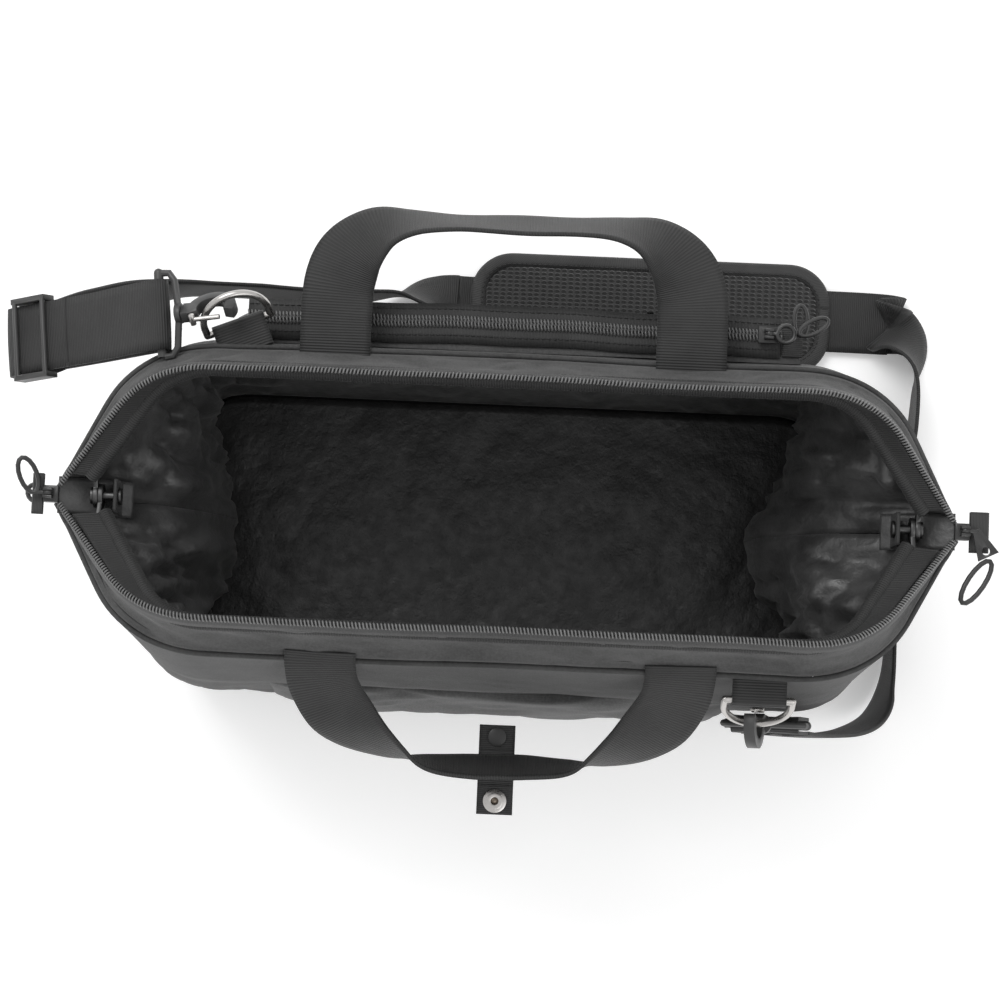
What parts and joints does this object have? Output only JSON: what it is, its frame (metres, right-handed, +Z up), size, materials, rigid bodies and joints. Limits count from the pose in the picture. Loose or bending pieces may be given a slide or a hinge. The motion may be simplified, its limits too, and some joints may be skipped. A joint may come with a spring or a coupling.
{
  "type": "flight bag",
  "caption": "Soft wide-mouth flight bag with a hinged steel mouth frame that folds open, two webbing handles, a zipped rear pocket and a clip-on padded shoulder strap.",
  "frame": {"origin": "centre of the base panel's underside, on the ground", "axes": "+X along the bag's length, +Y to its rear (pocket and strap side), +Z up"},
  "size_m": [0.5503, 0.3445, 0.2572],
  "materials": {
    "outer_fabric": "woven nylon, matt with a faint sheen",
    "lining_fabric": "thin coated nylon, shiny and wrinkled",
    "board": "covered stiff board",
    "webbing": "ribbed polypropylene webbing",
    "binding": "grosgrain tape",
    "net": "open net with elastic edge",
    "air_mesh": "spacer mesh with oval holes",
    "zip": "nylon coil on woven tape",
    "frame_steel": "plated steel",
    "slider_metal": "dark enamelled zinc",
    "pull_cord": "moulded cord pull, satin",
    "nickel": "nickel plate, lightly worn",
    "hook_plastic": "moulded nylon, satin"
  },
  "bodies": {
    "bag_body": {"base_panel": "outer_fabric", "outer_shell": "outer_fabric", "lining": "lining_fabric", "base_board": "board", "front_pocket": "outer_fabric", "rear_pocket": "outer_fabric", "rear_pocket_zip": "zip", "rear_pocket_end_web": "webbing", "left_mesh_pocket": "net", "right_mesh_pocket": "net", "left_hinge_rivet": "frame_steel", "right_hinge_rivet": "frame_steel", "left_hinge_patch": "webbing", "right_hinge_patch": "webbing", "left_end_tab": "outer_fabric", "right_end_tab": "outer_fabric", "left_zip_slider": "slider_metal", "right_zip_slider": "slider_metal", "rear_strap_run": "webbing", "front_strap_run": "webbing"},
    "front_mouth": {"front_rod": "frame_steel", "front_collar": "outer_fabric", "front_zip": "zip", "front_ring_tab": "webbing", "front_hook_loop": "hook_plastic", "front_strap_end": "webbing"},
    "rear_mouth": {"rear_rod": "frame_steel", "rear_collar": "outer_fabric", "rear_zip": "zip", "rear_ring_tab": "webbing", "rear_hook_loop": "hook_plastic", "rear_strap_end": "webbing"},
    "front_grip": {"front_handle": "webbing", "handle_wrap": "webbing"},
    "cap_flap": {"wrap_cap_flap": "webbing", "snap_cap": "hook_plastic"},
    "socket_flap": {"wrap_socket_flap": "webbing", "snap_socket": "nickel"},
    "rear_grip": {"rear_handle": "webbing"},
    "left_upper_pull": {"left_upper_pull": "pull_cord"},
    "left_lower_pull": {"left_lower_pull": "pull_cord"},
    "right_pull": {"right_pull_plate": "slider_metal"},
    "right_loop": {"right_pull_loop": "pull_cord"},
    "pocket_slider": {"pocket_slider": "slider_metal"},
    "pocket_pull": {"pocket_pull_ring": "slider_metal", "pocket_pull_loops": "pull_cord"},
    "rear_ring": {"rear_ring": "nickel"},
    "front_ring": {"front_ring": "nickel"},
    "rear_hook": {"rear_hook": "hook_plastic"},
    "rear_gate": {"rear_hook_gate": "nickel"},
    "front_hook": {"front_hook": "hook_plastic"},
    "front_gate": {"front_hook_gate": "nickel"},
    "strap_slider": {"strap_slider": "hook_plastic"},
    "shoulder_pad": {"shoulder_pad": "air_mesh", "pad_binding": "binding"}
  },
  "joints": [
    {"name": "front_mouth_fold", "type": "hinge", "parent": "bag_body", "child": "front_mouth", "pos_m": [0, 0, 0.205], "axis": [1, 0, 0], "range_deg": [-50, 0]},
    {"name": "rear_mouth_fold", "type": "hinge", "parent": "bag_body", "child": "rear_mouth", "pos_m": [0, 0, 0.205], "axis": [1, 0, 0], "range_deg": [0, 50]},
    {"name": "front_handle_lift", "type": "hinge", "parent": "front_mouth", "child": "front_grip", "pos_m": [0, -0.0826, 0.219], "axis": [1, 0, 0], "range_deg": [-122, 0]},
    {"name": "rear_handle_lift", "type": "hinge", "parent": "rear_mouth", "child": "rear_grip", "pos_m": [0, 0.0826, 0.219], "axis": [1, 0, 0], "range_deg": [0, 95]},
    {"name": "cap_flap_fold", "type": "hinge", "parent": "front_grip", "child": "cap_flap", "pos_m": [0, -0.12717, 0.15136], "axis": [1, 0, 0], "range_deg": [0, 90]},
    {"name": "socket_flap_fold", "type": "hinge", "parent": "front_grip", "child": "socket_flap", "pos_m": [0, -0.14717, 0.15136], "axis": [1, 0, 0], "range_deg": [-90, 0]},
    {"name": "left_upper_pull_swing", "type": "hinge", "parent": "bag_body", "child": "left_upper_pull", "pos_m": [-0.2473, 0, 0.2112], "axis": [0, 1, 0], "range_deg": [0, 130]},
    {"name": "left_lower_pull_swing", "type": "hinge", "parent": "bag_body", "child": "left_lower_pull", "pos_m": [-0.2473, 0, 0.1988], "axis": [0, 1, 0], "range_deg": [-50, 20]},
    {"name": "right_pull_swing", "type": "hinge", "parent": "bag_body", "child": "right_pull", "pos_m": [0.2473, 0, 0.2112], "axis": [0, 1, 0], "range_deg": [-130, 0]},
    {"name": "right_loop_swing", "type": "hinge", "parent": "right_pull", "child": "right_loop", "pos_m": [0.25984, -0.01348, 0.21208], "axis": [0, 1, 0], "range_deg": [-40, 40]},
    {"name": "pocket_zip_slide", "type": "slide", "parent": "bag_body", "child": "pocket_slider", "axis": [1, 0, 0], "range_m": [-0.27, 0]},
    {"name": "pocket_pull_swing", "type": "hinge", "parent": "pocket_slider", "child": "pocket_pull", "pos_m": [0.139, 0.10408, 0.2037], "axis": [0, 1, 0], "range_deg": [-110, 0]},
    {"name": "rear_ring_swing", "type": "hinge", "parent": "rear_mouth", "child": "rear_ring", "pos_m": [-0.149, 0.0955, 0.212], "axis": [0.9272, 0.3746, 0], "range_deg": [-5, 5]},
    {"name": "front_ring_swing", "type": "hinge", "parent": "front_mouth", "child": "front_ring", "pos_m": [0.139, -0.0955, 0.2115], "axis": [1, 0, 0], "range_deg": [-5, 5]},
    {"name": "rear_hook_swivel", "type": "hinge", "parent": "rear_mouth", "child": "rear_hook", "pos_m": [-0.1788, 0.0987, 0.2234], "axis": [0.9728, 0.1022, 0.2079], "range_deg": [-10, 10]},
    {"name": "front_hook_swivel", "type": "hinge", "parent": "front_mouth", "child": "front_hook", "pos_m": [0.1443, -0.1075, 0.1745], "axis": [-0.309, 0, 0.9511], "range_deg": [-10, 10]},
    {"name": "rear_gate_press", "type": "hinge", "parent": "rear_hook", "child": "rear_gate", "pos_m": [-0.17214, 0.09429, 0.23048], "axis": [-0.216, 0.7245, 0.6545], "range_deg": [0, 8], "stiffness_Nm_per_rad": 0.02, "springref_deg": -8.59},
    {"name": "front_gate_press", "type": "hinge", "parent": "front_hook", "child": "front_gate", "pos_m": [0.14198, -0.0999, 0.18163], "axis": [0.9511, 0, 0.309], "range_deg": [0, 8], "stiffness_Nm_per_rad": 0.02, "springref_deg": -8.59},
    {"name": "strap_adjuster_slide", "type": "slide", "parent": "bag_body", "child": "strap_slider", "axis": [0.8393, 0.0882, 0.5364], "range_m": [0, 0.03]},
    {"name": "pad_slide", "type": "slide", "parent": "bag_body", "child": "shoulder_pad", "axis": [1, 0, 0], "range_m": [0, 0.024]}
  ],
  "couplings": [
    {"joint": "rear_mouth_fold", "follows": "front_mouth_fold", "ratio": -1}
  ]
}
